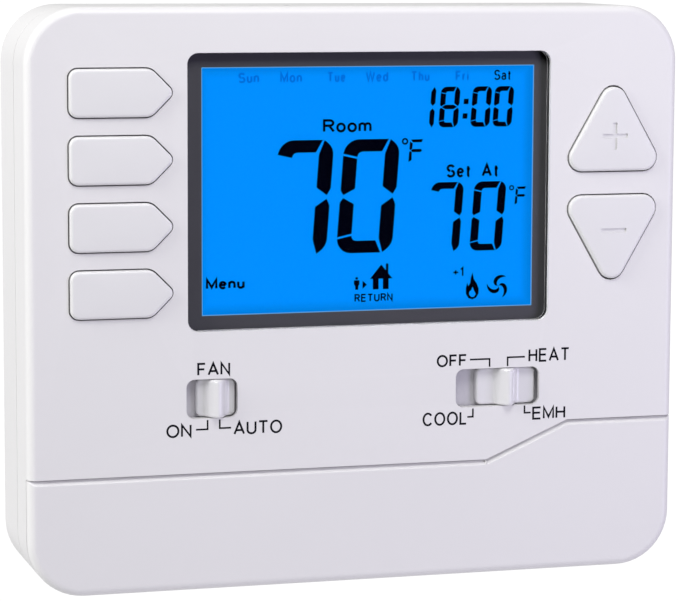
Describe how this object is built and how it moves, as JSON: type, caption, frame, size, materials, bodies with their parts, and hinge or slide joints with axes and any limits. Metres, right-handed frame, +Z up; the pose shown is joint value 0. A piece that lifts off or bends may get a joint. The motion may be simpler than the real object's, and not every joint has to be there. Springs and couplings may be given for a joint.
{
  "type": "wall thermostat",
  "caption": "Wall thermostat: a control head with a lit display, side keys, up and down keys, slide switches and a battery door, plugged onto a wall plate with wire terminals.",
  "frame": {"origin": "centre of the wall plate's back face, on the wall", "axes": "+Z up, +X to the right as seen from the front, front faces -Y, the wall is the plane y = 0"},
  "size_m": [0.12, 0.0254, 0.103],
  "materials": {
    "case_white": "fine satin moulded texture",
    "key_white": "satin",
    "knob_white": "glossy moulded",
    "window_clear": "clear, polished",
    "mask_grey": "printed, flat",
    "lcd_blue": "lit, smooth",
    "guide_clear": "frosted",
    "frame_plastic": "moulded",
    "board_green": "solder mask",
    "black_plastic": "moulded",
    "relay_plastic": "moulded",
    "terminal_green": "moulded",
    "steel": "plated",
    "brass": "plated",
    "gold_pins": "plated",
    "rubber_black": "soft",
    "battery_jacket": "printed film",
    "led_white": "clear",
    "cap_can": "sleeved can",
    "sensor_bead": "dipped"
  },
  "bodies": {
    "wall_base": {"wall_plate": "case_white", "terminal_block_left": "terminal_green", "terminal_block_right": "terminal_green", "terminal_screws": "steel", "wire_clamps": "brass", "socket_contacts": "brass"},
    "head": {"rear_case": "case_white", "front_case": "case_white", "case_screws": "steel", "main_board": "board_green", "board_screws": "steel", "display_window": "window_clear", "window_mask": "mask_grey", "lcd_frame": "frame_plastic", "lcd_panel": "lcd_blue", "backlight_guide": "guide_clear", "backlight_leds": "led_white", "zebra_strip": "rubber_black", "relays": "relay_plastic", "header_strips": "black_plastic", "header_pins": "gold_pins", "control_chip": "black_plastic", "capacitors": "cap_can", "crystal": "steel", "thermistor": "sensor_bead", "tact_switches": "steel", "fan_switch_body": "steel", "system_switch_body": "steel", "battery_left": "battery_jacket", "battery_right": "battery_jacket", "battery_springs": "steel", "battery_plates": "steel"},
    "door": {"battery_door": "case_white"},
    "key_1": {"soft_key_1": "key_white", "plunger_1": "black_plastic"},
    "key_2": {"soft_key_2": "key_white", "plunger_2": "black_plastic"},
    "key_3": {"soft_key_3": "key_white", "plunger_3": "black_plastic"},
    "key_4": {"soft_key_4": "key_white", "plunger_4": "black_plastic"},
    "key_plus": {"plus_key": "key_white", "plunger_plus": "black_plastic"},
    "key_minus": {"minus_key": "key_white", "plunger_minus": "black_plastic"},
    "fan_selector": {"fan_knob": "knob_white", "fan_slider": "black_plastic"},
    "system_selector": {"system_knob": "knob_white", "system_slider": "black_plastic"}
  },
  "joints": [
    {"name": "head_pull_off", "type": "slide", "parent": "wall_base", "child": "head", "axis": [0, -1, 0], "range_m": [0, 0.03]},
    {"name": "door_slide", "type": "slide", "parent": "head", "child": "door", "axis": [0, 0, -1], "range_m": [0, 0.03]},
    {"name": "key_1_press", "type": "slide", "parent": "head", "child": "key_1", "axis": [0, 1, 0], "range_m": [0, 0.0006], "stiffness_N_per_m": 1200, "springref_m": -0.0003},
    {"name": "key_2_press", "type": "slide", "parent": "head", "child": "key_2", "axis": [0, 1, 0], "range_m": [0, 0.0006], "stiffness_N_per_m": 1200, "springref_m": -0.0003},
    {"name": "key_3_press", "type": "slide", "parent": "head", "child": "key_3", "axis": [0, 1, 0], "range_m": [0, 0.0006], "stiffness_N_per_m": 1200, "springref_m": -0.0003},
    {"name": "key_4_press", "type": "slide", "parent": "head", "child": "key_4", "axis": [0, 1, 0], "range_m": [0, 0.0006], "stiffness_N_per_m": 1200, "springref_m": -0.0003},
    {"name": "key_plus_press", "type": "slide", "parent": "head", "child": "key_plus", "axis": [0, 1, 0], "range_m": [0, 0.0006], "stiffness_N_per_m": 1200, "springref_m": -0.0003},
    {"name": "key_minus_press", "type": "slide", "parent": "head", "child": "key_minus", "axis": [0, 1, 0], "range_m": [0, 0.0006], "stiffness_N_per_m": 1200, "springref_m": -0.0003},
    {"name": "fan_select", "type": "slide", "parent": "head", "child": "fan_selector", "axis": [1, 0, 0], "range_m": [-0.0019, 0]},
    {"name": "system_select", "type": "slide", "parent": "head", "child": "system_selector", "axis": [1, 0, 0], "range_m": [-0.0066, 0.0033]}
  ]
}
